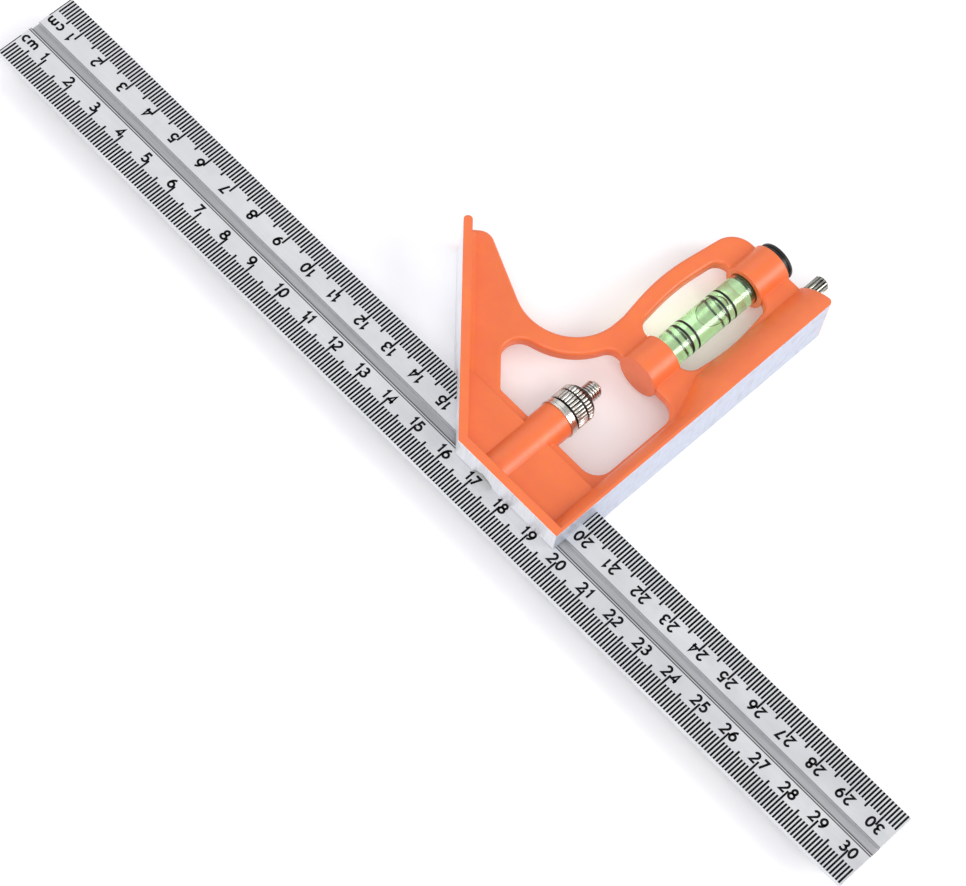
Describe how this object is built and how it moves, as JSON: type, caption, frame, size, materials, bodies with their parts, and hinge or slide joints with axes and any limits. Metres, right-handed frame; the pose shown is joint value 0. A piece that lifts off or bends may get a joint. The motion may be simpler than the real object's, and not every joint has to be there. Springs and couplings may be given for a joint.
{
  "type": "combination square",
  "caption": "Combination square: a grooved steel rule clamped in a die-cast head that has square and 45 degree faces, a spirit level and a scriber.",
  "frame": {"origin": "centre of the whole tool's box, on the plane of the head's back face, which it lies on", "axes": "+X along the rule towards its high numbers and out of the head's square face, +Y up the square face away from the rule, +Z out of the head's front face"},
  "size_m": [0.3048, 0.116, 0.017],
  "materials": {
    "rule_steel": "satin chromed steel with black filled graduations",
    "head_paint": "orange enamel on a zinc die casting, working faces machined bare",
    "plated_steel": "nickel plated",
    "spring_steel": "bright drawn wire",
    "scriber_steel": "hardened and ground",
    "bush_brass": "turned",
    "vial_acrylic": "clear acrylic",
    "vial_fluid": "green spirit",
    "bubble_air": "clear",
    "ring_black": "black",
    "plug_green": "dark green stopper",
    "cap_black": "moulded",
    "pad_rubber": "matt"
  },
  "bodies": {
    "head": {"head": "head_paint", "clamp_washer": "plated_steel", "clamp_spring": "spring_steel", "vial_seat_pad": "pad_rubber", "vial_tube": "vial_acrylic", "vial_ring_1": "ring_black", "vial_ring_2": "ring_black", "vial_ring_3": "ring_black", "vial_ring_4": "ring_black", "vial_liquid": "vial_fluid", "vial_plug": "plug_green", "vial_end_cap": "cap_black", "scriber_bush": "bush_brass"},
    "rule": {"blade": "rule_steel"},
    "nut": {"clamp_nut": "plated_steel"},
    "bolt": {"clamp_bolt": "plated_steel"},
    "scriber": {"scriber_pin": "scriber_steel", "scriber_knob": "scriber_steel"},
    "bubble": {"vial_bubble": "bubble_air"}
  },
  "joints": [
    {"name": "blade_slide", "type": "slide", "parent": "head", "child": "rule", "axis": [1, 0, 0], "range_m": [-0.1078, 0.15]},
    {"name": "nut_spin", "type": "hinge", "parent": "head", "child": "nut", "pos_m": [0.0195, -0.017, 0.0085], "axis": [0, 1, 0], "range_deg": [0, 450]},
    {"name": "bolt_draw", "type": "slide", "parent": "head", "child": "bolt", "axis": [0, 1, 0], "range_m": [-0.00101, 0], "deforming": ["clamp_spring"]},
    {"name": "scriber_pull", "type": "slide", "parent": "head", "child": "scriber", "axis": [0, 1, 0], "range_m": [0, 0.04]},
    {"name": "bubble_travel", "type": "slide", "parent": "head", "child": "bubble", "axis": [0, 1, 0], "range_m": [-0.017, 0.0055], "stiffness_N_per_m": 0.4, "springref_m": -0.003, "deforming": ["vial_liquid"]}
  ],
  "couplings": [
    {"joint": "bolt_draw", "follows": "nut_spin", "m_per_rad": -0.00012732}
  ]
}
